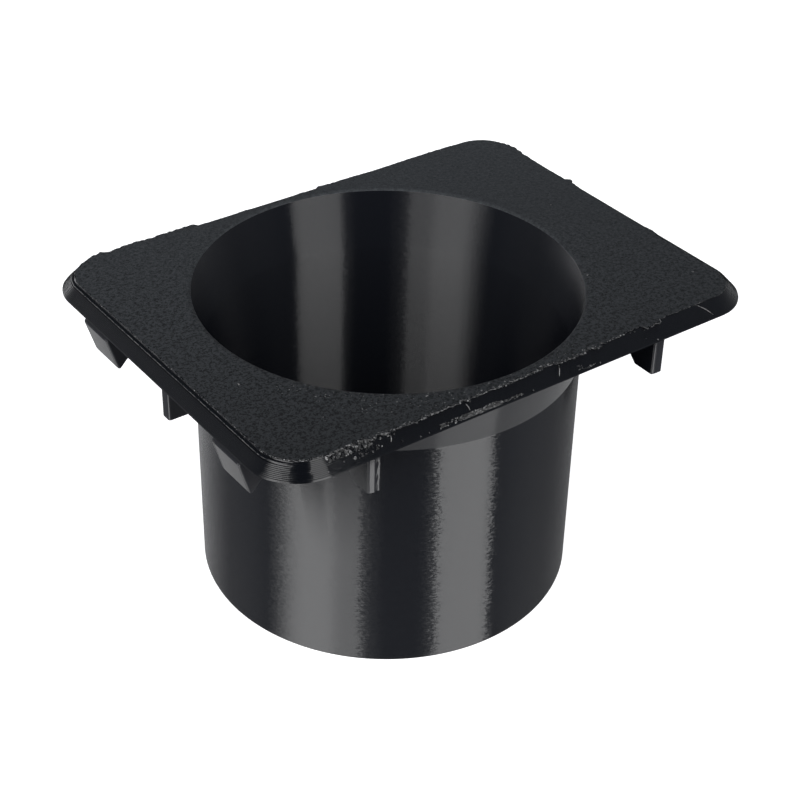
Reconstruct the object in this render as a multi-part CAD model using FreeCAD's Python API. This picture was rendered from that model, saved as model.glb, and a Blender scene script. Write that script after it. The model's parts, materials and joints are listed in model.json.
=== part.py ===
"""Drop-in cup holder for a rectangular console opening, printed in one piece.

A bevelled cover plate lies on the console. A round cup hangs from it, off the plate's centre:
a short funnel under the plate narrows the mouth to the straight well, which a floor closes.
Four snap hooks under the short sides and six locating ribs hold the plate in its opening.
Millimetres, +Z up. The origin is under the plate's centre, level with the cup's underside.
"""
import FreeCAD
import Part
import math
import os

# Cover plate
plate_length = 105.0
plate_width = 80.0
plate_thickness = 2.9
plate_corner_radius = 9.6
bevel_run = 2.45
edge_land = 0.3

# Cup
overall_height = 60.0
mouth_diameter = 72.0
mouth_edge_break = 0.4
well_diameter = 68.0
funnel_height = 12.0
wall_thickness = 2.0
floor_thickness = 2.0
foot_edge_break = 0.4
well_corner_radius = 1.5
cup_offset = 3.0

# Snap hooks, two under each short side
hook_length = 8.7
hook_spacing = 44.6
hook_nose_inset = 1.0
hook_neck_inset = 2.3
hook_tip_inset = 2.85
hook_nose_drop = 2.1
hook_nose_land = 0.4
hook_reach = 8.7
hook_tip_width = 0.2

# Locating ribs, one under each short side and two under each long side
rib_thickness = 2.4
end_rib_inset = 2.3
end_rib_reach = 8.8
end_rib_flat = 4.6
side_rib_inset = 3.7
side_rib_reach = 10.2
side_rib_flat = 4.6
side_rib_spacing = 63.0
rib_edge_radius = 0.4

# Slope of the supports' rear edges, measured from the plate
support_slope = 45.0

# Levels and places that follow from the sizes above
plate_underside = overall_height - plate_thickness
funnel_foot = overall_height - funnel_height
mouth_radius = mouth_diameter / 2
well_radius = well_diameter / 2
cup_axis_x = -cup_offset
funnel_taper = (mouth_radius - well_radius) / funnel_height


def rounded_outline(length, width, radius, level):
    """Closed wire of a rectangle with round corners, centred on the origin."""
    half_x = length / 2
    half_y = width / 2
    edges = []
    for quarter in range(4):
        turn = math.radians(90 * quarter)
        sign_x = 1 if quarter in (0, 3) else -1
        sign_y = 1 if quarter in (0, 1) else -1
        centre = FreeCAD.Vector(sign_x * (half_x - radius), sign_y * (half_y - radius), level)
        points = [
            centre + FreeCAD.Vector(math.cos(turn + step), math.sin(turn + step), 0) * radius
            for step in (0, math.pi / 4, math.pi / 2)
        ]
        if edges:
            edges.append(Part.LineSegment(edges[-1].Vertexes[-1].Point, points[0]).toShape())
        edges.append(Part.Arc(*points).toShape())
    edges.append(Part.LineSegment(edges[-1].Vertexes[-1].Point, edges[0].Vertexes[0].Point).toShape())
    return Part.Wire(edges)


def cover_plate():
    """Plate with its widest outline at the underside, bevelled all round up to the top face."""
    outline = rounded_outline(plate_length, plate_width, plate_corner_radius, plate_underside)
    slab = Part.Face(outline).extrude(FreeCAD.Vector(0, 0, plate_thickness))
    rim = [edge for edge in slab.Edges if all(abs(v.Z - overall_height) < 1e-6 for v in edge.Vertexes)]
    return slab.makeChamfer(plate_thickness - edge_land, bevel_run, rim)


def turned(profile):
    """Solid of revolution about the cup's axis, from (radius, height) corners of a half section."""
    points = [FreeCAD.Vector(cup_axis_x + radius, 0, height) for radius, height in profile]
    face = Part.Face(Part.makePolygon(points + points[:1]))
    return face.revolve(FreeCAD.Vector(cup_axis_x, 0, 0), FreeCAD.Vector(0, 0, 1), 360)


def cup_outside():
    """Outer form of the cup: straight wall, then the funnel up to the plate's underside."""
    wall_radius = well_radius + wall_thickness
    collar_radius = wall_radius + funnel_taper * (plate_underside - funnel_foot)
    return turned([
        (0, 0),
        (wall_radius - foot_edge_break, 0),
        (wall_radius, foot_edge_break),
        (wall_radius, funnel_foot),
        (collar_radius, plate_underside),
        (0, plate_underside),
    ])


def cup_hollow():
    """Space inside the cup, from the floor to the mouth, with a rounded corner at the floor."""
    inner = [(0, floor_thickness)]
    for step in range(5):
        angle = math.radians(90 * step / 4)
        inner.append((
            well_radius - well_corner_radius * (1 - math.sin(angle)),
            floor_thickness + well_corner_radius * (1 - math.cos(angle)),
        ))
    inner += [
        (well_radius, funnel_foot),
        (mouth_radius - funnel_taper * mouth_edge_break, overall_height - mouth_edge_break),
        (mouth_radius + mouth_edge_break, overall_height),
        (0, overall_height),
    ]
    return turned(inner)


def support(profile, thickness):
    """Upright block under the plate from an (inset, drop) profile, built at the -X side.

    The inset runs inward from the plate's widest edge and the drop runs down from its underside.
    """
    points = [FreeCAD.Vector(inset, -thickness / 2, plate_underside - drop) for inset, drop in profile]
    face = Part.Face(Part.makePolygon(points + points[:1]))
    return face.extrude(FreeCAD.Vector(0, thickness, 0))


def softened(solid, inset_limit):
    """Round the support's front edges that run up and down, as a round nozzle leaves them."""
    upright = []
    for edge in solid.Edges:
        rise = edge.Vertexes[0].Z - edge.Vertexes[-1].Z
        in_front = max(vertex.X for vertex in edge.Vertexes) < inset_limit
        if abs(rise) > 3 * rib_edge_radius and in_front:
            upright.append(edge)
    return solid.makeFillet(rib_edge_radius, upright)


def hook():
    """Snap hook: neck, nose that catches under the opening's edge, and a ramp that lets it in."""
    neck_rise = hook_neck_inset - hook_nose_inset
    ramp_top = hook_nose_drop + hook_nose_land
    rear_inset = hook_tip_inset + hook_tip_width
    rear_run = hook_reach / math.tan(math.radians(support_slope))
    return support([
        (hook_neck_inset, 0),
        (hook_neck_inset, hook_nose_drop - neck_rise),
        (hook_nose_inset, hook_nose_drop),
        (hook_nose_inset, ramp_top),
        (hook_tip_inset, hook_reach),
        (rear_inset, hook_reach),
        (rear_inset + rear_run, 0),
    ], hook_length)


def rib(inset, reach, flat):
    """Locating rib: upright front, level foot, and a sloping rear edge up to the plate."""
    rear_run = reach / math.tan(math.radians(support_slope))
    block = support([
        (inset, 0),
        (inset, reach),
        (inset + flat, reach),
        (inset + flat + rear_run, 0),
    ], rib_thickness)
    return softened(block, inset + rib_thickness)


def place(solid, side_angle, reach_out, along):
    """Turn a support to its side of the plate, with its zero inset on the plate's edge."""
    placed = solid.copy()
    placed.translate(FreeCAD.Vector(-reach_out, along, 0))
    placed.rotate(FreeCAD.Vector(0, 0, 0), FreeCAD.Vector(0, 0, 1), side_angle)
    return placed


def supports():
    """All hooks and ribs: both short sides alike, and both long sides alike."""
    pieces = []
    end_rib = rib(end_rib_inset, end_rib_reach, end_rib_flat)
    side_rib = rib(side_rib_inset, side_rib_reach, side_rib_flat)
    for side_angle in (0, 180):
        for along in (-hook_spacing / 2, hook_spacing / 2):
            pieces.append(place(hook(), side_angle, plate_length / 2, along))
        pieces.append(place(end_rib, side_angle, plate_length / 2, 0))
    for side_angle in (90, 270):
        for along in (-side_rib_spacing / 2, side_rib_spacing / 2):
            pieces.append(place(side_rib, side_angle, plate_width / 2, along))
    return pieces


def cup_holder():
    """The whole holder: plate, cup and supports in one, then the hollow cut through them."""
    solid = cover_plate().multiFuse([cup_outside()] + supports())
    solid = solid.cut(cup_hollow())
    return solid.removeSplitter()


os.makedirs("parts", exist_ok=True)
holder = cup_holder()
body = holder.Solids[0]
box = body.BoundBox
print("solids", len(holder.Solids), "valid", holder.isValid(), "volume", round(body.Volume, 1))
print("box", [round(value, 3) for value in (box.XMin, box.YMin, box.ZMin, box.XMax, box.YMax, box.ZMax)])
body.exportStep("parts/cup_holder.step")
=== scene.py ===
# %% [markdown]
# This lesson dresses one printed part: a black cup holder that drops into a car's console. It has
# a bevelled cover plate, a round cup under it, four snap hooks and six ribs, all printed in one go.
# The part already exists as a fixed frame at its real size. The frame is loaded first, so every
# form that follows is measured from it instead of being fitted by eye.

# %% Load the fixed frame
import json
import math
import random

import bmesh
import bpy
import numpy as np
from mathutils import Matrix, Quaternion, Vector, noise


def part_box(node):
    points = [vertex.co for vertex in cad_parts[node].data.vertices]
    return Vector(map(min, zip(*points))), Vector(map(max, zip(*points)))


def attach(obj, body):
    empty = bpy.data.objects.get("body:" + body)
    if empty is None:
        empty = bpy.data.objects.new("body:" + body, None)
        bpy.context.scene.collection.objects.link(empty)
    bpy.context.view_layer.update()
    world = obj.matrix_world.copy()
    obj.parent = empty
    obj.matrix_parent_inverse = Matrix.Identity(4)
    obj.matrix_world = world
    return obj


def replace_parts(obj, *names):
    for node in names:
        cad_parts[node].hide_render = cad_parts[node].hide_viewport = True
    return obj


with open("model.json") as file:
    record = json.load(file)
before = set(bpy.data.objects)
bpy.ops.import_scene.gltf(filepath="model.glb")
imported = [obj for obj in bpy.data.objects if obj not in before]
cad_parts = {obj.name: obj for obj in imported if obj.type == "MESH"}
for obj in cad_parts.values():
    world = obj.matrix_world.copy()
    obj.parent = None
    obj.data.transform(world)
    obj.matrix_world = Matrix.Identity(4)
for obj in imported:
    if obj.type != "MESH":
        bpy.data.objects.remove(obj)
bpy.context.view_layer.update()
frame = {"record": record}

MM = 0.001
low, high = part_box("cup_holder")
print("frame box in mm", [round(v / MM, 2) for v in (*low, *high)])

# %% [markdown]
# A dressed form should follow the frame, so the large sizes are read from it: the plate's length
# and width, the top's height, the cup's axis and its well. Only what the frame can't tell is
# written here, in millimetres: the bevel, the wall, the funnel and the printer's layer height.
# Layers matter most on this object. They are what gives the plastic its long upright streaks.

# %% Sizes of the part, in millimetres
half_length = (high.x - low.x) / 2 / MM
half_width = (high.y - low.y) / 2 / MM
top_level = high.z / MM
mounts = {m["name"]: m for m in frame["record"]["mounts"]}
cup_x = mounts["cup_well"]["pos_m"][0] / MM
well_radius = mounts["cup_well"]["dims"]["r_mm"]
funnel_flare = 2.0
mouth_radius = well_radius + funnel_flare
funnel_height = 12.0
wall = 2.0
floor_level = 2.0
plate_thickness = 2.9
corner_radius = 9.6
bevel_run = 2.45
edge_land = 0.3
layer = 0.2
underside = top_level - plate_thickness
funnel_foot = top_level - funnel_height
funnel_taper = funnel_flare / funnel_height
print("underside at", round(underside, 2), "mm, cup's axis at x =", round(cup_x, 2), "mm")

# %% [markdown]
# The camera stands where the photographer stood. Its angle, distance and lens were worked out from
# the plate's edges and the cup's two ellipses, whose real sizes are known. Writing it as an aim
# point, two angles and a distance keeps it readable: a bare location and three Euler angles would
# say nothing to a reader. A long lens, 79 mm, keeps the plate's far edges nearly parallel.

# %% Camera
view_azimuth = math.radians(-36.7)
view_elevation = math.radians(34.55)
view_roll = math.radians(1.31)
view_distance = 338.9 * MM
aim = Vector((0.12, -0.15, 32.54)) * MM


def camera_axes(azimuth, elevation, roll):
    """Right, up and backward axes of a camera that looks down at the aim point."""
    back = Vector((math.sin(azimuth) * math.cos(elevation), -math.cos(azimuth) * math.cos(elevation),
                   math.sin(elevation)))
    level_right = Vector((math.cos(azimuth), math.sin(azimuth), 0))
    level_up = back.cross(level_right)
    right = level_right * math.cos(roll) + level_up * math.sin(roll)
    up = level_up * math.cos(roll) - level_right * math.sin(roll)
    return right, up, back


right, up, back = camera_axes(view_azimuth, view_elevation, view_roll)
camera_data = bpy.data.cameras.new("camera")
camera_data.sensor_width = 36
camera_data.lens = 79.36
camera_data.clip_start = 0.01
camera = bpy.data.objects.new("camera", camera_data)
facing = Matrix((right, up, back)).transposed().to_4x4()
camera.matrix_world = Matrix.Translation(aim + back * view_distance) @ facing
bpy.context.scene.collection.objects.link(camera)
bpy.context.scene.camera = camera
print("camera at", [round(v / MM, 1) for v in camera.matrix_world.translation])

# %% [markdown]
# Two tall soft boxes stand in front of the object, one to each side of the camera. Every bright
# streak on the cup is a picture of one of them, so their place and width decide where the streaks
# start and end. Their sides are given as angles from the camera's direction, seen from the cup,
# because that is what a streak shows. A real soft box fades towards its sides, so each is made of
# upright strips of its own strength. They are tall, so that the plate's corner, and not the lamp's
# own top, ends the streak above. The right box leans sideways: the beads of the wall each tip its
# picture a little differently, and a leaning border then jumps from bead to bead and looks torn,
# as the photograph shows it. The lamps are hidden from the camera, not from reflections.

# %% Soft boxes
cup_axis = Vector((cup_x * MM, 0, 0))
toward_camera = Vector((back.x, back.y, 0)).normalized()
level_right = Vector((math.cos(view_azimuth), math.sin(view_azimuth), 0))


def outward_bearing(degrees):
    """Level direction at a bearing from the camera's direction, seen from the cup."""
    turn = math.radians(degrees)
    return toward_camera * math.cos(turn) + level_right * math.sin(turn)


def light_strip(name, from_angle, to_angle, radiance, tilt=0, distance=0.9, bottom=0.06, top=1.3):
    """Tall area lamp between two bearings, seen from the cup; tilt leans it sideways, in degrees."""
    outward = outward_bearing((from_angle + to_angle) / 2)
    data = bpy.data.lights.new(name, "AREA")
    data.shape = "RECTANGLE"
    data.size = 2 * distance * math.tan(math.radians(to_angle - from_angle) / 2)
    data.size_y = top - bottom
    data.energy = radiance * math.pi * data.size * data.size_y
    lamp = bpy.data.objects.new(name, data)
    lamp.location = cup_axis + outward * distance + Vector((0, 0, (bottom + top) / 2))
    lean_over = Quaternion((0, 0, 1), math.radians(tilt))
    lamp.rotation_euler = (outward.to_track_quat("Z", "Y") @ lean_over).to_euler()
    lamp.visible_camera = False
    bpy.context.scene.collection.objects.link(lamp)
    print(name, "is", round(data.size, 2), "by", round(data.size_y, 2), "m,", round(data.energy, 1), "W")


light_strip("left_box_outer", -63.5, -58.5, 1.1)
light_strip("left_box_side", -58.5, -53.5, 2.8)
light_strip("left_box", -53.5, -28, 4.3)
light_strip("left_box_inner", -28, -12.3, 3.05)
light_strip("left_box_fringe", -12.3, -7, 0.6)
light_strip("left_box_edge", -7, -1, 0.2)
light_strip("right_box_edge", 26, 31.8, 0.4, tilt=-10)
light_strip("right_box", 31.8, 64.5, 3.9, tilt=-10)

# %% [markdown]
# Every finish from here on is a small tree of shader nodes. Blender's own calls for that are long,
# so one helper class keeps them short: it adds a node with its values, joins two sockets and does
# sums. It clears the tree first, so that nothing is left of Blender's starting nodes.

# %% Helper: node trees
class Nodes:
    """Short names for building the node tree of a material or a world."""

    def __init__(self, owner):
        owner.use_nodes = True
        owner.node_tree.nodes.clear()
        self.nodes = owner.node_tree.nodes
        self.links = owner.node_tree.links

    def add(self, kind, **values):
        node = self.nodes.new("ShaderNode" + kind)
        for name, value in values.items():
            key = name.replace("_", " ").title()
            if key in node.inputs:
                node.inputs[key].default_value = value
            else:
                setattr(node, name, value)
        return node

    def join(self, source, target):
        self.links.new(source, target)

    def feed(self, socket, value):
        if isinstance(value, bpy.types.NodeSocket):
            self.links.new(value, socket)
        elif value is not None:
            socket.default_value = value

    def math(self, operation, first, second=None):
        node = self.add("Math", operation=operation)
        self.feed(node.inputs[0], first)
        self.feed(node.inputs[1], second)
        return node.outputs[0]

    def vector(self, operation, first, second=None):
        node = self.add("VectorMath", operation=operation)
        self.feed(node.inputs[0], first)
        self.feed(node.inputs["Scale" if operation == "SCALE" else 1], second)
        return node.outputs[0]

    def dot(self, first, second):
        node = self.add("VectorMath", operation="DOT_PRODUCT")
        self.feed(node.inputs[0], first)
        self.feed(node.inputs[1], second)
        return node.outputs["Value"]

    def fade(self, value, start, end, at_start, at_end):
        """Straight change from one value to another between two places, level outside them."""
        node = self.add("MapRange", from_min=start, from_max=end, to_min=at_start, to_max=at_end)
        self.links.new(value, node.inputs["Value"])
        return node.outputs[0]

    def ramp(self, factor, *stops):
        """Colours that change along a factor; each stop is a place from 0 to 1 and its colour."""
        node = self.nodes.new("ShaderNodeValToRGB")
        band = node.color_ramp.elements
        while len(band) < len(stops):
            band.new(1.0)
        for element, (at, color) in zip(band, stops):
            element.position = at
            element.color = (*color, 1)
        self.links.new(factor, node.inputs["Fac"])
        return node.outputs["Color"]


print("node helper ready")

# %% [markdown]
# The room is dim overhead and paler near the horizon. A plain white world would fill every
# reflection and turn the black plastic grey, so the dim part is what keeps the gaps between the
# streaks dark. It is also paler to both sides than in front or behind. The cup's left edge is
# bright in the photograph, so there is a pale place far back on the left. Its glow stays close to
# the horizon, because the rim keeps such low light out of the cup, whose inside is dark there.

# %% Room
world = bpy.data.worlds.new("studio")
bpy.context.scene.world = world
tree = Nodes(world)
direction = tree.add("TexCoord").outputs["Generated"]
split = tree.add("SeparateXYZ")
tree.join(direction, split.inputs[0])
height = split.outputs["Z"]
sky = tree.ramp(
    height,
    (0.06, (0.28, 0.28, 0.28)),
    (0.27, (0.12, 0.124, 0.132)),
    (0.45, (0.085, 0.09, 0.099)),
    (0.6, (0.042, 0.047, 0.055)),
)
in_front = tree.math("ADD", tree.math("MULTIPLY", tree.dot(direction, toward_camera), 0.5), 0.5)
sides = tree.ramp(
    in_front,
    (0.05, (0.9, 0.9, 0.9)),
    (0.18, (2.5, 2.5, 2.55)),
    (0.39, (2.4, 2.4, 2.45)),
    (0.49, (3.2, 3.2, 3.25)),
    (0.62, (3.2, 3.2, 3.25)),
    (0.75, (1.2, 1.2, 1.2)),
    (0.84, (1.6, 1.6, 1.65)),
)
back_left = tree.dot(direction, outward_bearing(-140))
glow_strength = 7.5
glow = tree.math("MULTIPLY", tree.fade(back_left, 0.7, 0.98, 0, glow_strength),
                 tree.fade(height, 0.05, 0.16, 1, 0))
background = tree.add("Background")
world_out = tree.add("OutputWorld")
tree.join(tree.vector("MULTIPLY", sky, sides), background.inputs["Color"])
tree.join(tree.math("ADD", glow, 1.0), background.inputs["Strength"])
tree.join(background.outputs[0], world_out.inputs["Surface"])
print("room", world.name, "has", len(tree.nodes), "nodes")

# %% [markdown]
# The floor is a wide sheet of white paper. Light from the lamps alone would leave it grey, and more
# light would wash out the plastic. So a part of its white is emitted, but only towards the camera
# and towards mirror rays. All other rays meet plain white paper, which keeps the holder's shadow.

# %% Floor
white_to_camera = 0.85
white_in_reflections = 0.62
paper = bpy.data.materials.new("white_paper")
tree = Nodes(paper)
diffuse = tree.add("BsdfDiffuse", color=(0.8, 0.8, 0.8, 1))
path = tree.add("LightPath")
mirrored = tree.math("MAXIMUM", path.outputs["Is Glossy Ray"], path.outputs["Is Transmission Ray"])
seen = tree.math("MULTIPLY", path.outputs["Is Camera Ray"], white_to_camera)
own_white = tree.add("Emission", color=(1, 1, 1, 1))
tree.join(tree.math("ADD", seen, tree.math("MULTIPLY", mirrored, white_in_reflections)),
          own_white.inputs["Strength"])
total = tree.add("AddShader")
tree.join(diffuse.outputs[0], total.inputs[0])
tree.join(own_white.outputs[0], total.inputs[1])
paper_out = tree.add("OutputMaterial")
tree.join(total.outputs[0], paper_out.inputs["Surface"])

floor_data = bpy.data.meshes.new("floor")
sheet = bmesh.new()
bmesh.ops.create_circle(sheet, cap_ends=True, radius=6, segments=96)
sheet.to_mesh(floor_data)
sheet.free()
floor_data.materials.append(paper)
floor = bpy.data.objects.new("floor", floor_data)
bpy.context.scene.collection.objects.link(floor)
print("floor across", round(floor.dimensions.x, 1), "m")

# %% [markdown]
# A printed wall is a stack of level beads, each about 0.2 mm high. A bead is a tiny half round
# bar, so it throws a reflection up and down, but not sideways. In a shader that is anisotropy: the
# gloss is rough along the upright direction and sharp along the bead. The tangent is the level line
# in the surface, and a quarter turn sets the rough direction upright.
#
# The beads are too fine to model on the whole cup, so the shader turns the surface's normal instead.
# It leans the normal up, swings it up and down once per bead, and turns it a little sideways by a
# noise that changes from bead to bead. That last turn gives the streaks their ragged borders.

# %% Finish of the layered sides
def layered_plastic(name, color, roughness, lean, swing, drift, shine=0.5):
    """Black plastic with level beads; lean, swing and drift turn the normal, in degrees.

    The shine is the strength of the reflections, 0.5 for plain plastic.
    """
    fine_weight = 6
    material = bpy.data.materials.new(name)
    tree = Nodes(material)
    place = tree.add("TexCoord").outputs["Object"]
    split = tree.add("SeparateXYZ")
    tree.join(place, split.inputs[0])
    bead = tree.math("SINE", tree.math("MULTIPLY", split.outputs["Z"], 2 * math.pi / (layer * MM)))
    rise = tree.math("MULTIPLY", bead, math.radians(swing))
    rise = tree.math("ADD", rise, math.tan(math.radians(lean)))
    squeezed = tree.vector("MULTIPLY", place, (1, 1, 2.4))
    wander = tree.add("TexNoise", scale=1400, detail=2, roughness=0.6)
    tree.join(squeezed, wander.inputs["Vector"])
    slow = tree.add("TexNoise", scale=60, detail=1, roughness=0.5)
    tree.join(place, slow.inputs["Vector"])
    aside = tree.math("ADD", tree.math("MULTIPLY", wander.outputs[0], fine_weight), slow.outputs[0])
    centred = tree.math("ADD", aside, -0.5 * (fine_weight + 1))
    aside = tree.math("MULTIPLY", centred, math.radians(drift))
    normal = tree.add("NewGeometry").outputs["Normal"]
    along = tree.vector("CROSS_PRODUCT", (0, 0, 1), normal)
    turned = tree.vector("ADD", normal, tree.vector("SCALE", along, aside))
    turned = tree.vector("ADD", turned, tree.vector("SCALE", (0, 0, 1), rise))
    turned = tree.vector("NORMALIZE", turned)
    plastic = tree.add("BsdfPrincipled", base_color=(*color, 1), roughness=roughness,
                       anisotropic=1, anisotropic_rotation=0.25)
    plastic.inputs["Specular IOR Level"].default_value = shine
    tree.join(turned, plastic.inputs["Normal"])
    tree.join(along, plastic.inputs["Tangent"])
    out = tree.add("OutputMaterial")
    tree.join(plastic.outputs[0], out.inputs["Surface"])
    return material


print("one bead is", layer, "mm high, so the cup has about", round(top_level / layer), "of them")

# %% [markdown]
# The beads don't look alike everywhere. On the funnel and the hooks' ramps they lie like stairs, on
# the hooks and ribs they are short, and on the bevel they are real forms, so the shader adds none.
# One finish for all would be too bright or too dark somewhere. So each stretch has its own numbers
# in the same tree, found by setting the render beside the photograph. The black differs too, though
# the plastic is one: it is lighter on the hooks and ribs, as painted light where the plate shades
# them, and darker on the bevel, as painted shade. The inside's weaker shine is painted shade too.

# %% One finish for each stretch
black = (0.0032, 0.0037, 0.0055)
deep_black = (0.0035, 0.004, 0.006)
wall_black = (0.0074, 0.008, 0.0102)
# The supports' black is lighter than the plastic's: painted light on faces the plate shades.
hook_black_painted_light = (0.023, 0.0235, 0.027)
# The bevel's black is darker than the plastic's: painted shade.
bevel_black_painted_shade = (0.0018, 0.0022, 0.0034)
wall_finish = layered_plastic("layered_wall", wall_black, 0.2, lean=39, swing=12, drift=1.5)
# The inside's weaker shine is painted shade.
inside_finish = layered_plastic("layered_inside", deep_black, 0.2, lean=35, swing=22, drift=0.7, shine=0.4)
funnel_finish = layered_plastic("layered_funnel", wall_black, 0.22, lean=20, swing=12, drift=0.5)
hook_finish_painted_light = layered_plastic("layered_hook_painted_light", hook_black_painted_light, 0.15, lean=43, swing=3, drift=0.4)
rib_finish = layered_plastic("layered_rib", black, 0.17, lean=24, swing=8, drift=0.6)
ramp_finish = layered_plastic("layered_ramp", black, 0.33, lean=0, swing=5, drift=1)
bevel_finish_painted_shade = layered_plastic("layered_bevel_painted_shade", bevel_black_painted_shade, 0.17, lean=20, swing=0, drift=0.12)
print("finishes", wall_finish.name, funnel_finish.name, ramp_finish.name, bevel_finish_painted_shade.name)

# %% [markdown]
# The top face lay on the printer's rough bed, so it is a matt, grainy copy of that bed. Its grain is
# fine, about half a millimetre, and a few grains glint. In the photograph it is paler towards the
# back and right, which here is painted light, and most mottled towards the near left corner, so
# both change slowly across it.
# Each change is the dot product of the place with a direction, which grows steadily that way. The
# same tree serves the torn bits of the brim, only glossier and with more contrast.

# %% Finish of the grainy top and of torn plastic
def grainy_plastic(name, dark, light, roughness, grain, relief, paler_by_painted_light=(0, 0, 0), calmer=(0, 0, 0)):
    """Mottled plastic; grain is in spots per metre and its relief in millimetres.

    Its colour gains the given share for each metre along X, Y and Z, which is painted light, and
    its contrast loses its own given share the same way.
    """
    middle_of_noise = 0.48
    least_contrast = 0.4
    material = bpy.data.materials.new(name)
    tree = Nodes(material)
    place = tree.add("TexCoord").outputs["Object"]
    coarse = tree.add("TexNoise", scale=grain, detail=3, roughness=0.6)
    fine = tree.add("TexNoise", scale=grain * 2.5, detail=2, roughness=0.6)
    tree.join(place, coarse.inputs["Vector"])
    tree.join(place, fine.inputs["Vector"])
    half_coarse = tree.math("MULTIPLY", coarse.outputs[0], 0.5)
    half_fine = tree.math("MULTIPLY", fine.outputs[0], 0.5)
    mixed = tree.math("ADD", half_coarse, half_fine)
    contrast = tree.math("SUBTRACT", 1.0, tree.dot(place, calmer))
    contrast = tree.math("MAXIMUM", contrast, least_contrast)
    spread = tree.math("MULTIPLY", tree.math("ADD", mixed, -middle_of_noise), contrast)
    mottle = tree.ramp(tree.math("ADD", spread, 0.5), (0.41, dark), (0.59, light))
    color = tree.vector("SCALE", mottle, tree.math("ADD", tree.dot(place, paler_by_painted_light), 1.0))
    bump = tree.add("Bump", strength=1, distance=1)
    tree.join(tree.math("MULTIPLY", mixed, relief * MM), bump.inputs["Height"])
    plastic = tree.add("BsdfPrincipled", roughness=roughness)
    plastic.inputs["Specular IOR Level"].default_value = 0.3
    tree.join(color, plastic.inputs["Base Color"])
    tree.join(bump.outputs[0], plastic.inputs["Normal"])
    out = tree.add("OutputMaterial")
    tree.join(plastic.outputs[0], out.inputs["Surface"])
    return material


# The top's paler back and right are painted light; its grain and mottle are its own.
top_finish = grainy_plastic("grainy_top", (0.004, 0.005, 0.006), (0.0457, 0.0494, 0.0535),
                            0.68, 1450, 0.1, paler_by_painted_light=(2.8, 8.2, 0), calmer=(12, 20, 0))
# This grey also paints a light line on the left bevel and part of the glints round the mouth.
torn_rim_and_painted_light_finish = grainy_plastic("torn_rim_and_painted_light", (0.006, 0.0065, 0.007), (0.1, 0.1, 0.1), 0.45, 1500, 0.25)
scrap_finish = grainy_plastic("dark_scrap", (0.004, 0.0045, 0.005), (0.02, 0.021, 0.023), 0.3, 2500, 0.1)
# The pale scraps' colour is partly whitened torn plastic and partly painted highlights of glossy curls.
pale_finish = grainy_plastic("whitened_scrap_and_painted_highlight", (0.05, 0.05, 0.05), (0.32, 0.32, 0.32), 0.45, 2500, 0.1)
print("finishes", top_finish.name, torn_rim_and_painted_light_finish.name, scrap_finish.name, pale_finish.name)

# %% [markdown]
# Most forms here are rows of points that run once round: the rows are joined by rings of quads,
# like hoops on a barrel. One helper makes such a mesh, rides it on the part's only body and gives
# it the finishes it is handed. A sharp edge is kept where two faces meet at more than a set angle.

# %% Helper: hoops of points to a mesh
def finished_piece(name, mesh, sharp_angle=40):
    """Put a mesh in the scene as a smooth shaded piece of the holder."""
    mesh.shade_smooth()
    mesh.set_sharp_from_angle(angle=math.radians(sharp_angle))
    piece = bpy.data.objects.new(name, mesh)
    bpy.context.scene.collection.objects.link(piece)
    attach(piece, "root")
    print(name, "has", len(mesh.polygons), "faces")
    return piece


def hoops(name, rows, closed, materials, row_material, origin):
    """Mesh through closed rows of points; closed joins the last row to the first."""
    rows = np.asarray(rows, float)
    count, around = rows.shape[:2]
    points = rows.reshape(-1, 3) * MM - np.array(origin)
    faces = []
    slots = []
    last = count if closed else count - 1
    for row in range(last):
        here = row * around
        there = ((row + 1) % count) * around
        for i in range(around):
            j = (i + 1) % around
            faces.append((here + i, here + j, there + j, there + i))
        slots += list(np.broadcast_to(row_material[row], around))
    mesh = bpy.data.meshes.new(name)
    if not closed:
        ends = [row.mean(axis=0) * MM - np.array(origin) for row in (rows[0], rows[-1])]
        points = np.vstack([points, ends])
        first_end = count * around
        there = (count - 1) * around
        for i in range(around):
            j = (i + 1) % around
            faces.append((j, i, first_end))
            faces.append((there + i, there + j, first_end + 1))
            slots += [row_material[0], row_material[-1]]
    mesh.from_pydata(points.tolist(), [], faces)
    for material in materials:
        mesh.materials.append(material)
    mesh.polygons.foreach_set("material_index", slots)
    mesh.update()
    piece = finished_piece(name, mesh)
    piece.location = Vector(origin)
    return piece


# %% [markdown]
# The plate's outline is a rectangle with round corners. Each point of it is a spot on a smaller
# rectangle plus a step outward, so a narrower outline is the same list with a shorter step. That
# makes the bevel easy: every printed layer is one outline, a little wider than the one above.

# %% The plate's outline
def outline_skeleton(side_steps, corner_steps):
    """Spots on the corners' rectangle, and the outward direction at each; back, left, front, right."""
    inner_x = half_length - corner_radius
    inner_y = half_width - corner_radius
    corners = [(inner_x, inner_y), (-inner_x, inner_y), (-inner_x, -inner_y), (inner_x, -inner_y)]
    spots = []
    outward = []
    for quarter, (x, y) in enumerate(corners):
        for step in range(corner_steps):
            angle = math.pi / 2 * (quarter + step / corner_steps)
            spots.append((x, y))
            outward.append((math.cos(angle), math.sin(angle)))
        next_x, next_y = corners[(quarter + 1) % 4]
        steps = side_steps[quarter]
        for step in range(steps):
            share = step / steps
            spots.append((x + (next_x - x) * share, y + (next_y - y) * share))
            angle = math.pi / 2 * (quarter + 1)
            outward.append((math.cos(angle), math.sin(angle)))
    return np.array(spots), np.array(outward)


points_on_sides = (160, 150, 270, 90)
points_on_corner = 26
spots, outward = outline_skeleton(points_on_sides, points_on_corner)
around_plate = len(spots)


def outline(inset):
    """Plate outline that many millimetres inside the widest one; inset may vary round it."""
    return spots + outward * (corner_radius - np.asarray(inset)).reshape(-1, 1)


print("outline has", around_plate, "points, widest", outline(0.0).max(axis=0).round(2))

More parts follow.
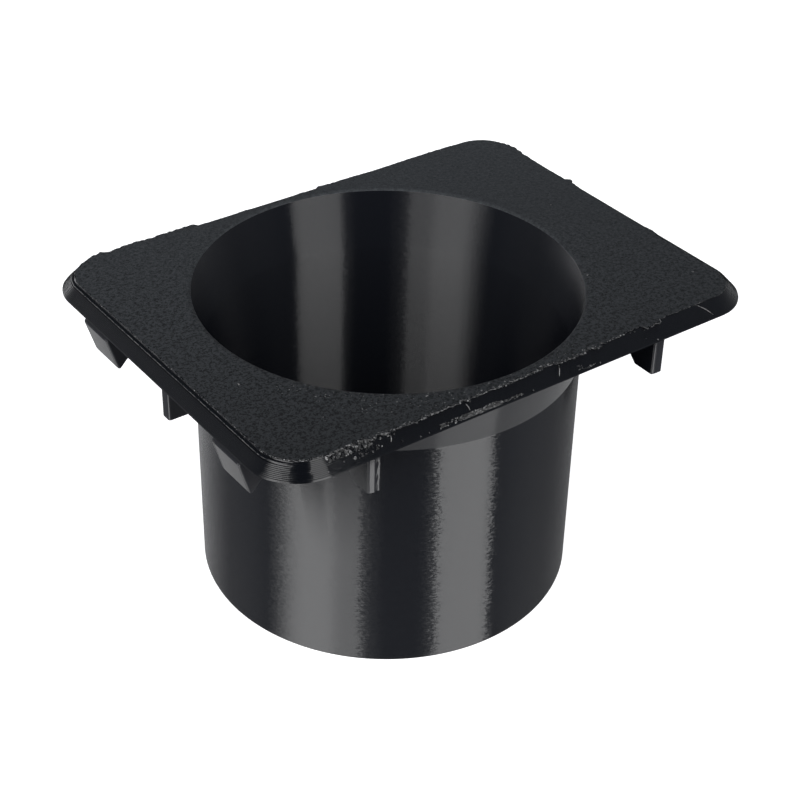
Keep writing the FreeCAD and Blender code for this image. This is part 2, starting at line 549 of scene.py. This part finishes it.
# %% [markdown]
# Two kinds of unevenness are needed all over: a slow wave along a bead, and one value per layer.
# Blender's own noise gives the wave and a seeded generator the values. Both are the same on each
# run, so the lesson always makes the same holder.

# %% Helper: unevenness
chance = random.Random(7)


def waves(points, size, level):
    """Smooth noise from -1 to 1 at flat points, for waves of a given size in millimetres.

    Another level gives other waves of the same size.
    """
    return np.array([noise.noise(Vector((x / size, y / size, level))) for x, y in points])


print("a wave 6 mm long, read each 2 mm:", waves([(0, 0), (2, 0), (4, 0), (6, 0)], 6, 0.5).round(2))

# %% [markdown]
# The plate was printed face down, so its top face is the first layer. The first layer was squashed
# on the bed and a brim was torn off it, so a narrow strip still stands out beyond the bevel in some
# places: along most of the front, at the back's left end and in short stretches elsewhere. Tables
# of how far it stands out, side by side with the place along each side, hold that uneven edge.

# %% The uneven edge of the first layer
front_lip = ((-43, 0.2), (-41, 0.45), (-38, 0.05), (-34.6, -0.05), (-34.2, 0.9), (-32.4, 0.5),
             (-31, 0.85), (-24, 0.9), (-20, 0.75), (-12, 0.7), (-10, 0.5), (-6, 0.95), (-4, 0.7),
             (0, 0.65), (1.6, 0.6), (2, 0.2), (4.4, 0.4), (5.2, 0.8), (11, 0.9), (11.4, 0.35),
             (13, 0.35), (13.4, 0.95), (14.8, 0.95), (15.2, 0.3), (21, 0.25), (21.4, 0), (25, -0.05),
             (25.3, 1.0), (29, 0.95), (29.4, 0), (43, 0))
back_lip = ((-47, 0), (-45.5, 0.3), (-43.8, 0.55), (-42, 0.85), (-41, 1.25), (-40.4, 0.8), (-34.6, 0.85),
            (-33.4, 1.15), (-32.6, 0.8), (-28, 0.8), (-24, 0.95), (-21.3, 1.0), (-21.1, 0), (-14, -0.1),
            (-10, 0.15), (-9.2, -0.2), (-4, -0.4), (0, -0.25), (1.8, 0), (2.4, 0.35), (3.2, 0.3), (3.5, -0.4),
            (5.6, -0.4), (6.6, 0.3), (10, 0.3), (15, 0.15), (20, -0.15), (28, 0.1), (38, 0.2), (42, -0.1))
left_lip = ((-43, 0), (43, -0.05))
right_lip = ((-43, -0.3), (-15, -0.3), (-13.8, 0.2), (-11.6, 0.15), (-10.8, -0.2), (0, -0.2), (8, -0.1),
             (9.2, 0.15), (10.4, 0.45), (11.3, 0.9), (11.9, 1.4), (12.6, 0), (20, 0), (24, 0.1), (26.6, 0.25),
             (28.5, 0.4), (31, 0.4), (33, 0))
lip_starts = 0.15
calm_share = 0.25


def lip_width():
    """How far the first layer stands out beyond the bevel's line, at each outline point."""
    line = outline(bevel_run)
    width = np.zeros(around_plate)
    for axis, sign, along, table in ((1, -1, 0, front_lip), (1, 1, 0, back_lip),
                                     (0, -1, 1, left_lip), (0, 1, 1, right_lip)):
        facing = outward[:, axis] * sign > 0.8
        places, widths = zip(*table)
        width[facing] = np.interp(line[facing, along], places, widths)
    tears = waves(line, size=0.8, level=5.3) * 0.35
    fringe = np.array([chance.uniform(-1, 1) for _ in line]) * 0.16
    torn = np.clip((np.abs(width) - lip_starts) * 10, 0, 1)
    return width + (tears + fringe) * (calm_share + (1 - calm_share) * torn)


lip = lip_width()
print("first layer stands out by", round(lip.min(), 2), "to", round(lip.max(), 2), "mm")

# %% [markdown]
# Now the plate, as one closed ring. It starts at the mouth, crosses the grainy top, goes down the
# bevel layer by layer, turns under and comes back to the mouth. The bevel is real geometry: every
# layer is a flattened bead with a narrow tread above it, because at the near corner the photograph
# shows each one. On the left side the second layer lies back and the third stands out a little,
# which draws the fine double line below that edge. Plastic whitens where it is torn, so single faces
# along the first layer's edge get a torn or whitened finish. On the left, single faces of the third
# layer's upper part get the torn grey finish too, as a painted light line.

# %% Forms of the bevel's layers
SIDE, TOP, WALL, TORN_AND_PAINTED_LIGHT, WHITE = range(5)
bevel_layers = 14
layer_rise = plate_thickness / bevel_layers
bead_profile = [(0.09, 0.49), (0.07, 0.42), (0.045, 0.2), (0.02, -0.1), (0.0, -0.36), (0.04, -0.49)]
lip_profile = [(-0.03, -0.05), (-0.05, -0.12), (-0.02, -0.2), (0.12, -0.23)]
left_setback = {1: 0.24, 2: -0.16, 3: 0.12}
painted_light_layer = 2
rim_break = 0.4
foot_of_bevel = 0.35
grain_room = 0.05


def bevel_inset(level):
    """How far the bevel's slope lies inside the widest outline at a level."""
    rise = max(0.0, level - underside - edge_land)
    return bevel_run * rise / (plate_thickness - edge_land)


def mouth_circle(radius, level, points):
    """Circle about the cup's axis whose points lie straight inward of the outline's points."""
    centre = np.array((cup_x, 0.0))
    direction = points - centre
    direction /= np.linalg.norm(direction, axis=1).reshape(-1, 1)
    flat = centre + direction * radius
    return np.column_stack([flat, np.full(len(flat), level)])


def at_level(flat, level):
    """Flat points lifted to a level, which may vary from point to point."""
    return np.column_stack([flat, np.full(len(flat), 1.0) * level])


print("each layer of the bevel is", round(layer_rise, 3), "mm high")

# %% The cover plate
def top_rows():
    """Hoops across the top face, from the mouth to the edge of the first layer."""
    edge = bevel_run - lip
    inner = outline(edge + 0.3)
    mouth = mouth_circle(mouth_radius + rim_break, top_level, outline(bevel_run))
    rows = []
    top_hoops = 34
    for step in range(top_hoops):
        share = step / top_hoops
        flat = mouth[:, :2] * (1 - share) + inner * share
        grain = waves(flat, size=0.55, level=3.1) * 0.012 + waves(flat, size=6.0, level=8.7) * 0.015
        rows.append(np.column_stack([flat, top_level - grain_room + grain]))
    for inside in (0.2, 0.1, 0.0):
        flat = outline(edge + inside)
        crumbs = np.array([chance.uniform(-0.05, 0.03) for _ in flat])
        grain = waves(flat, size=0.4, level=6.1) * 0.04 + crumbs
        rows.append(np.column_stack([flat, np.minimum(top_level - 0.045 + grain, top_level - 0.002)]))
    return rows


def plate_rows():
    """All hoops of the plate, with the finish of the faces after each."""
    rows = top_rows()
    on_lip = (SIDE, SIDE, SIDE, TOP, TORN_AND_PAINTED_LIGHT, WHITE)
    elsewhere = (SIDE, TOP, TOP, TOP, TORN_AND_PAINTED_LIGHT)
    mixes = [on_lip if width > lip_starts else elsewhere for width in lip]
    torn = [[chance.choice(mix) for mix in mixes] for _ in range(4)]
    slots = [TOP] * (len(rows) - 3) + torn[:3]
    under_lip = [slot if slot in (TORN_AND_PAINTED_LIGHT, WHITE) else SIDE for slot in torn[3]]
    for back, drop in lip_profile:
        uneven = np.array([chance.uniform(-0.05, 0.05) for _ in lip])
        rows.append(at_level(outline(bevel_run - lip + back + uneven), top_level + drop + uneven * 0.5))
        slots.append(under_lip if drop > -0.1 else SIDE)
    on_left = np.clip((-outward[:, 0] - 0.6) / 0.3, 0, 1)
    in_corner = np.clip(np.abs(outward).min(axis=1) * 4, 0, 1)
    for number in range(1, bevel_layers):
        middle = top_level - (number + 0.5) * layer_rise
        shift = chance.uniform(-0.012, 0.012) + left_setback.get(number, 0) * on_left
        drift = waves(spots + outward * 9, size=1.2, level=number * 3.7) * (0.008 + 0.04 * in_corner)
        for back, rise in bead_profile:
            flat = outline(np.maximum(bevel_inset(middle) + back + shift + drift, 0.0))
            rows.append(at_level(flat, middle + layer_rise * rise))
            # On the left, the third layer's torn grey faces are a painted light line.
            if number == painted_light_layer and 0 < rise < 0.45:
                slots.append([TORN_AND_PAINTED_LIGHT if left > 0.5 and chance.random() < 0.6 else SIDE for left in on_left])
            else:
                slots.append(SIDE)
    rows.append(at_level(outline(foot_of_bevel), underside))
    slots.append(SIDE)
    edge = outline(bevel_run)
    beside_cup = mouth_radius + 4
    for radius, level, slot in (
        (beside_cup, underside, SIDE),
        (mouth_radius - funnel_taper * plate_thickness, underside, WALL),
        (mouth_radius - funnel_taper * rim_break, top_level - rim_break, TOP),
    ):
        rows.append(mouth_circle(radius, level, edge))
        slots.append(slot)
    return rows, slots


rows, row_slots = plate_rows()
plate_finishes = [bevel_finish_painted_shade, top_finish, inside_finish, torn_rim_and_painted_light_finish, pale_finish]
plate = hoops("cover_plate", rows, True, plate_finishes, row_slots, (cup_x * MM, 0, 0))
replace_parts(plate, "cup_holder")

# %% [markdown]
# The cup is a turned form: one profile, repeated round its axis. It has a straight outer wall, a
# funnel that widens to the plate, a flat foot, and the same again inside. The rows are closer than
# the form needs, so that each can be a hair wider or narrower, as printed layers are. The wall, the
# funnel and the inside take their own finishes, told apart by each face's height and radius.

# %% The cup
row_gap = 2 * layer


def inner_profile():
    """(radius, level) corners of the cup's inside, from the plate down to the floor's middle."""
    floor_round = 1.5
    profile = []
    level = underside
    while level > funnel_foot:
        profile.append((well_radius + funnel_taper * (level - funnel_foot), level))
        level -= row_gap
    while level > floor_level + floor_round:
        profile.append((well_radius, level))
        level -= row_gap
    for step in range(5):
        angle = math.pi / 2 * step / 4
        profile.append((well_radius - floor_round * (1 - math.cos(angle)),
                        floor_level + floor_round * (1 - math.sin(angle))))
    for radius in (28, 20, 10, 1):
        profile.append((radius, floor_level))
    return profile


def outer_profile():
    """(radius, level) corners of the cup's outside, from the foot's middle up to the plate."""
    outer = well_radius + wall
    foot_break = 0.4
    profile = [(1, 0), (20, 0), (outer - foot_break, 0), (outer - 0.12, 0.12), (outer, foot_break)]
    level = foot_break + row_gap
    while level < funnel_foot:
        profile.append((outer, level))
        level += row_gap
    while level < underside:
        profile.append((outer + funnel_taper * (level - funnel_foot), level))
        level += row_gap
    profile.append((outer + funnel_taper * (underside - funnel_foot), underside + 0.05))
    return profile


def turned_rows(profile, steps, unevenness):
    """Hoops about the cup's axis, each a hair wider or narrower than its neighbours."""
    rows = []
    turn = np.linspace(0, 2 * math.pi, steps, endpoint=False)
    for radius, level in profile:
        shift = chance.uniform(-unevenness, unevenness) if radius > 30 else 0.0
        rows.append(np.column_stack([cup_x + (radius + shift) * np.cos(turn),
                                     (radius + shift) * np.sin(turn), np.full(steps, level)]))
    return rows


around_cup = 192
unevenness = 0.006
inside_rows = turned_rows(inner_profile(), around_cup, unevenness)
outside_rows = turned_rows(outer_profile(), around_cup, unevenness)
print("cup has", len(inside_rows), "rows inside and", len(outside_rows), "outside")


def cup_mesh(inside_rows, outside_rows):
    """The floor and the foot are closed by fans; the ring under the plate joins in and out."""
    rows = inside_rows + outside_rows
    total = len(rows)
    around = len(rows[0])
    points = np.vstack(rows) * MM - np.array((cup_x * MM, 0, 0))
    last_inside = len(inside_rows) - 1
    faces = []
    for row in range(total):
        if row == last_inside:
            continue
        here = row * around
        there = ((row + 1) % total) * around
        for i in range(around):
            j = (i + 1) % around
            faces.append((here + j, here + i, there + i, there + j))
    floor_middle = total * around
    points = np.vstack([points, [(0, 0, floor_level * MM), (0, 0, 0)]])
    here = last_inside * around
    there = here + around
    for i in range(around):
        j = (i + 1) % around
        faces.append((here + j, here + i, floor_middle))
        faces.append((there + i, there + j, floor_middle + 1))
    mesh = bpy.data.meshes.new("cup")
    mesh.from_pydata(points.tolist(), [], faces)
    for finish in (wall_finish, funnel_finish, inside_finish):
        mesh.materials.append(finish)
    mesh.update()
    for face in mesh.polygons:
        on_outside = math.hypot(face.center.x, face.center.y) > (mouth_radius - 0.5) * MM
        if face.center.z > funnel_foot * MM:
            face.material_index = 1 if on_outside else 2
        elif face.center.z > floor_level / 2 * MM and not on_outside:
            face.material_index = 2
    return mesh


cup = finished_piece("cup", cup_mesh(inside_rows, outside_rows))
cup.location = cup_axis
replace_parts(cup, "cup_holder")

# %% [markdown]
# Hooks and ribs are side profiles carried across a thickness. A profile is a line of points, each
# an inset from the plate's edge and a drop below its underside. Their fronts are not flat: the
# nozzle lays a rib's front as two round beads side by side, and can't turn a sharp corner. So each
# support is a row of stations across its thickness, each with its own set-back. That matters for
# the looks, because each small curve is an upright mirror that picks up a soft box, while a flat
# stays dark. The flat sides keep a sharp edge and take a finish of their own.

# %% Helpers: profile to support
def stepped(line, step):
    """The same line of points with more points between, none further apart than the step."""
    points = [line[0]]
    for start, end in zip(line, line[1:]):
        parts = max(1, math.ceil(math.dist(start, end) / step))
        for part in range(1, parts + 1):
            share = part / parts
            points.append(tuple(a + (b - a) * share for a, b in zip(start, end)))
    return points


def support_mesh(name, front, rear, stations, side_finish):
    """Profile of (inset, drop) points carried through (across, set-back, raggedness) stations."""
    column = stepped(front, row_gap)
    form = bmesh.new()
    profiles = []
    for across, back, ragged in stations:
        profile = [(inset + back + chance.uniform(-ragged, ragged), drop) for inset, drop in column] + rear
        profiles.append([form.verts.new((inset, across, -drop)) for inset, drop in profile])
    for one, two in zip(profiles, profiles[1:]):
        for i in range(len(one)):
            j = (i + 1) % len(one)
            form.faces.new((one[j], one[i], two[i], two[j]))
    form.faces.new(profiles[0])
    form.faces.new(reversed(profiles[-1]))
    bmesh.ops.recalc_face_normals(form, faces=form.faces)
    bmesh.ops.scale(form, vec=(MM, MM, MM), verts=form.verts)
    mesh = bpy.data.meshes.new(name)
    form.to_mesh(mesh)
    form.free()
    for finish in (hook_finish_painted_light, ramp_finish, side_finish):
        mesh.materials.append(finish)
    for face in mesh.polygons:
        if abs(face.normal.y) > 0.95:
            face.material_index = 2
        elif face.normal.x < -0.2 and -0.6 < face.normal.z < -0.1:
            face.material_index = 1
    return mesh


def place_support(name, mesh, side_angle, reach_out, along):
    """Turn a support to its side of the plate and set it under the plate."""
    mesh = mesh.copy()
    turn = Matrix.Rotation(math.radians(side_angle), 4, "Z")
    mesh.transform(turn @ Matrix.Translation(Vector((-reach_out, along, underside)) * MM))
    piece = finished_piece(name, mesh, sharp_angle=50)
    edges = {edge.key: edge for edge in piece.data.edges}
    for face in piece.data.polygons:
        if len(face.vertices) > 4:
            for key in face.edge_keys:
                edges[key].use_edge_sharp = True
    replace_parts(piece, "cup_holder")


print("the fronts of supports are divided each", row_gap, "mm")

# %% [markdown]
# Each station is a place across the thickness, a set-back and a raggedness, in millimetres. The
# photograph shows one rib with two uneven beads, one with a slanted front and one that is plain, so
# there are three kinds of front. A rib's rear slopes up to the plate at 45 degrees. Where the cup
# is too near for that, the rear stops inside the cup's wall.

# %% Hooks and ribs
overlap = 0.1
round_front = [(1.2, 0.4, 0), (1.1, 0.14, 0), (0.92, 0.03, 0), (0.7, 0, 0)]
plain_front = round_front + [(-across, back, ragged) for across, back, ragged in reversed(round_front)]
slanted_front = [(1.2, 0.45, 0), (1.16, 0.28, 0), (1.05, 0.15, 0), (0.85, 0.1, 0), (0.2, 0.01, 0),
                 (0.1, 0, 0), (-0.85, 0, 0), (-1.08, 0.07, 0), (-1.2, 0.25, 0)]
beaded_front = [(1.2, 0.6, 0), (1.16, 0.4, 0), (1.05, 0.28, 0), (0.95, 0.25, 0.01), (0.25, 0.05, 0.01),
                (0.1, 0.03, 0), (-0.02, 0.08, 0), (-0.2, 0.2, 0.02), (-0.32, 0.26, 0.04),
                (-0.42, 0.2, 0.06), (-0.5, 0.14, 0.06), (-0.85, 0.05, 0.05), (-1.0, 0.08, 0.04),
                (-1.12, 0.18, 0.02), (-1.2, 0.4, 0)]
hook_half = [(4.35, 0.35, 0), (4.28, 0.14, 0), (4.15, 0.03, 0), (3.98, 0, 0), (3.84, 0.03, 0),
             (3.76, 0.1, 0), (3.68, 0.02, 0), (3.5, 0, 0)]
hook_stations = hook_half + [(-across, back, ragged) for across, back, ragged in reversed(hook_half)]


def rib_profile(inset, reach, stop=None):
    """Front and rear of a rib, the rear sloping up to the plate or ending upright at a stop."""
    foot = 4.6
    front = [(inset, -overlap), (inset, reach)]
    heel = round(inset + foot, 2)
    slope_end = round(heel + reach, 2)
    if stop is None:
        return front, [(heel, reach), (slope_end + overlap, -overlap)]
    return front, [(heel, reach), (stop, round(slope_end - stop, 2)), (stop, -overlap)]


hook_neck = 2.3
hook_nose = 1.0
hook_tip = 2.85
hook_reach = 8.7
nose_drop = 2.1
nose_land = 0.4
hook_front = [(hook_neck, -overlap), (hook_neck, 0.8), (hook_nose, nose_drop),
              (hook_nose, nose_drop + nose_land), (hook_tip, hook_reach)]
hook_rear = [(hook_tip + 0.4, hook_reach), (11.75 + overlap, -overlap)]
hook_mesh = support_mesh("hook", hook_front, hook_rear, hook_stations, hook_finish_painted_light)
end_rib_near = rib_profile(inset=2.3, reach=8.8, stop=13.0)
end_rib_far = rib_profile(inset=2.3, reach=8.8)
side_rib_near = rib_profile(inset=3.7, reach=10.2, stop=16.8)
side_rib_far = rib_profile(inset=3.7, reach=10.2)
end_ribs = {"left": support_mesh("end_rib_near", *end_rib_near, plain_front, hook_finish_painted_light),
            "right": support_mesh("end_rib_far", *end_rib_far, plain_front, hook_finish_painted_light)}
beaded_rib_mesh = support_mesh("beaded_rib", *side_rib_near, beaded_front, rib_finish)
slanted_rib_mesh = support_mesh("slanted_rib", *side_rib_far, slanted_front, rib_finish)
plain_rib_mesh = support_mesh("plain_rib", *side_rib_near, plain_front, rib_finish)

hook_place = 22.3
rib_place = 31.5
for side_angle, side in ((0, "left"), (180, "right")):
    for along, which in ((-hook_place, "a"), (hook_place, "b")):
        place_support(f"hook_{side}_{which}", hook_mesh, side_angle, half_length, along)
    place_support(f"end_rib_{side}", end_ribs[side], side_angle, half_length, 0)
place_support("side_rib_front_a", beaded_rib_mesh, 90, half_width, rib_place)
place_support("side_rib_front_b", slanted_rib_mesh, 90, half_width, -rib_place)
place_support("side_rib_back_a", plain_rib_mesh, 270, half_width, -rib_place)
place_support("side_rib_back_b", plain_rib_mesh, 270, half_width, rib_place)

# %% [markdown]
# What the torn brim left behind: scraps along the front's top edge, a smeared band of crumbs low on
# the front bevel, a few whiskers, and dust on the top, whose pale grains are partly painted glints. A
# scrap is the hull of a few random points, so it has sharp facets that catch the light one by one.
# Places on the bevel are given as a distance along the front and a distance down the slope, which is
# how one would point at them with a finger.

# %% Helpers: scraps and whiskers
slope_length = math.hypot(bevel_run, plate_thickness - edge_land)
slope_out = bevel_run / slope_length
slope_down = (plate_thickness - edge_land) / slope_length


def on_front(along, down, lift=0.0):
    """Point on the front bevel, in millimetres, lifted off the slope."""
    out = half_width - bevel_run + down * slope_out + lift * slope_down
    return Vector((along, -out, top_level - down * slope_down + lift * slope_out))


def scrap(form, centre, size, slot):
    """One torn bit: the hull of eight random points, kept inside the part's box."""
    points = []
    for _ in range(8):
        spot = centre + Vector([chance.uniform(-1, 1) * size for _ in range(3)])
        spot.y = max(-half_width + 0.02, min(half_width - 0.02, spot.y))
        spot.z = min(spot.z, top_level - 0.005)
        points.append(form.verts.new(spot * MM))
    hull = bmesh.ops.convex_hull(form, input=points)
    for face in hull["geom"]:
        if isinstance(face, bmesh.types.BMFace):
            face.material_index = slot
    loose = [v for v in hull["geom_interior"] + hull["geom_unused"] if isinstance(v, bmesh.types.BMVert)]
    bmesh.ops.delete(form, geom=list(set(loose)), context="VERTS")


def loose_piece(name, form, materials):
    """Turn a form made of separate bits into one flat shaded piece."""
    mesh = bpy.data.meshes.new(name)
    form.to_mesh(mesh)
    form.free()
    for material in materials:
        mesh.materials.append(material)
    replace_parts(finished_piece(name, mesh, sharp_angle=1), "cup_holder")


def whisker(name, line, radius):
    """Thin bent thread of plastic through a line of points, in millimetres."""
    sides = 6
    rings = []
    line = [Vector(point) for point in line]
    for i, point in enumerate(line):
        ahead = (line[min(i + 1, len(line) - 1)] - line[max(i - 1, 0)]).normalized()
        one = ahead.orthogonal().normalized()
        two = ahead.cross(one)
        thin = radius * (0.5 if i in (0, len(line) - 1) else 1.0)
        rings.append([point + (one * math.cos(a) + two * math.sin(a)) * thin
                      for a in (2 * math.pi * k / sides for k in range(sides))])
    return hoops(name, rings, False, [pale_finish], [0] * len(rings), (0, 0, 0))


print("slope of the bevel is", round(slope_length, 2), "mm long")

# %% [markdown]
# The larger scraps are placed one by one, because the eye finds them in the photograph. Each has a
# place along the front, a way down the slope, a size and a finish, 0 for dark and 1 for rough grey.
# The crumbs between them are too many for that. The seeded generator sprinkles them over bands,
# each with its count, and along the torn edge of the first layer.

# %% Scraps of the brim, one by one
DARK, ROUGH, PALE = range(3)
rough_edge = bmesh.new()
for along, down, size, finish in (
    (-40.5, 0.1, 0.22, 1), (-40.6, 1.28, 0.2, 1), (-40.6, 0.62, 0.2, 1), (-38.8, 0.54, 0.22, 1),
    (-39.0, 1.17, 0.18, 1), (-37.2, 0.2, 0.22, 1), (-36.7, 1.05, 0.2, 1), (-37.6, 1.5, 0.16, 0),
    (-35.4, 0.5, 0.26, 1), (-35.3, 1.23, 0.14, 1), (-35.0, 1.56, 0.14, 1), (-33.7, 0.5, 0.24, 1),
    (-33.1, 0.6, 0.2, 1), (-34.0, 1.92, 0.14, 0), (-34.3, 2.51, 0.18, 1), (-33.3, 2.06, 0.14, 0),
    (-31.4, 0.3, 0.28, 1), (-30.5, 0.2, 0.24, 1), (-29.6, 0.4, 0.22, 1), (-25.9, 0.6, 0.26, 1),
    (-27.9, 0.5, 0.18, 1), (-39.7, 2.39, 0.22, 0), (-28.5, 2.65, 0.22, 0), (-42.9, 2.8, 0.14, 1),
    (-13.9, 0.97, 0.2, 1), (-25.0, 3.14, 0.2, 1), (-23.2, 3.14, 0.2, 1), (-9.7, 3.3, 0.2, 1),
    (-1.5, 3.3, 0.24, 1), (-8.9, 0.4, 0.26, 1), (3.9, 0.3, 0.24, 1), (9.4, 0.3, 0.16, 1),
    (13.6, 0.1, 0.26, 1), (14.2, 0.4, 0.18, 1), (15.3, 0.43, 0.16, 1), (9.2, 2.73, 0.16, 0),
    (13.6, 3.2, 0.18, 1), (22.0, 0.41, 0.16, 1), (23.0, 0.42, 0.2, 1), (25.1, 0.9, 0.18, 0),
    (24.7, 2.43, 0.12, 0), (27.1, 3.3, 0.2, 1),
):
    scrap(rough_edge, on_front(along, down, 0.06), size, finish)
print("placed scraps have", len(rough_edge.faces), "faces")

# %% Crumbs of the brim
band_mix = (DARK, DARK, ROUGH, ROUGH, PALE)
front_mix = (DARK, DARK, DARK, DARK, ROUGH, PALE, PALE)
edge_mix = (DARK, ROUGH, ROUGH, PALE)
crumbs_on_front = 560
crumbs_on_corner = 90
crumbs_on_left = 110
for count, start, end, first_down, last_down, size in (
    (170, -42.5, -34, 0.0, 1.5, 0.3), (60, -34, -29, 0.1, 1.2, 0.22), (34, -38, -32, 1.5, 2.7, 0.2),
    (60, -21.0, -17.0, 2.6, 3.3, 0.18), (260, -17.0, -9.0, 2.6, 3.3, 0.15),
    (420, -17.0, -8.0, 2.8, 3.3, 0.18), (90, -8.0, -3.6, 2.9, 3.3, 0.14),
    (24, 9.8, 12.6, 2.9, 3.2, 0.14), (18, 8.8, 10.0, 2.2, 3.1, 0.1),
):
    for _ in range(count):
        spot = on_front(chance.uniform(start, end), chance.uniform(first_down, last_down),
                        chance.uniform(0, 0.15))
        scrap(rough_edge, spot, size * chance.uniform(0.5, 1.1), chance.choice(band_mix))
for _ in range(crumbs_on_front):
    along = chance.uniform(-34, 15)
    out = np.interp(along, *zip(*front_lip)) + 0.15 - abs(chance.gauss(0, 0.4))
    spot = Vector((along, -(half_width - bevel_run + out), top_level - 0.08))
    scrap(rough_edge, spot, chance.uniform(0.07, 0.22), chance.choice(front_mix))
for _ in range(crumbs_on_corner):
    turn = math.radians(chance.uniform(180, 275))
    reach = corner_radius - bevel_run + chance.uniform(-0.15, 0.1)
    spot = Vector((math.cos(turn) * reach - half_length + corner_radius,
                   math.sin(turn) * reach - half_width + corner_radius, top_level - 0.1))
    scrap(rough_edge, spot, chance.uniform(0.06, 0.16), chance.choice(edge_mix))
for _ in range(crumbs_on_left):
    left_edge = bevel_run - half_length + chance.uniform(-0.1, 0.15)
    spot = Vector((left_edge, chance.uniform(-30, 30), top_level - 0.1))
    scrap(rough_edge, spot, chance.uniform(0.06, 0.13), chance.choice(edge_mix))
loose_piece("brim_scraps", rough_edge, [scrap_finish, torn_rim_and_painted_light_finish, pale_finish])

# %% [markdown]
# Last come the smallest things the photograph shows: three whiskers and a bent hair on the bevel,
# five pale specks on the top face, and fine dust round the near side of the mouth, whose pale and
# grey grains are also painted glints. A whisker is a six sided tube, thinner at its ends. Each is a
# piece of its own, so it is easy to leave out.

# %% Whiskers
for name, line, radius in (
    ("whisker_a", (on_front(-30.1, 1.1, 0.1), on_front(-30.3, 1.7, 0.2), on_front(-30.5, 2.2, 0.1)), 0.09),
    ("whisker_b", (on_front(-14.8, 1.0, 0.1), on_front(-14.6, 1.7, 0.2), on_front(-14.5, 2.3, 0.1)), 0.08),
    ("whisker_c", (on_front(5.4, 0.9, 0.1), on_front(5.0, 1.8, 0.2), on_front(4.6, 2.7, 0.1)), 0.09),
    ("hair", (on_front(38.1, 0.2, 0.04), on_front(39.5, 1.4, 0.08), on_front(40.2, 2.2, 0.08),
              on_front(40.8, 3.0, 0.04)), 0.05),
):
    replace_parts(whisker(name, line, radius), "cup_holder")

# %% Dust and painted glints
dust_and_glints = bmesh.new()
pale_specks = ((45.9, -28.7, 0.36), (40.6, 5.9, 0.42), (28.6, -18.7, 0.38), (-43.2, -13.1, 0.34),
               (-19.3, -33.5, 0.36))
for x, y, size in pale_specks:
    scrap(dust_and_glints, Vector((x, y, top_level - 0.04)), size, 0)
# The grains round the mouth are dust and painted glints at once.
dust_and_glint_grains = 420
for _ in range(dust_and_glint_grains):
    turn = chance.uniform(-2.7, -1.2)
    away = mouth_radius + 0.5 + abs(chance.gauss(0, 3.5))
    spot = Vector((cup_x + away * math.cos(turn), away * math.sin(turn), top_level - 0.06))
    if abs(spot.y) < half_width - bevel_run - 0.5:
        scrap(dust_and_glints, spot, chance.uniform(0.06, 0.13), chance.choice((1, 1, 0)))
loose_piece("dust_and_glints", dust_and_glints, [pale_finish, torn_rim_and_painted_light_finish])

# %% [markdown]
# The last cell hides and moves nothing. It sets the plain view transform and closes the scene.

# %% Finish
bpy.context.scene.view_settings.view_transform = "Standard"
bpy.context.view_layer.update()
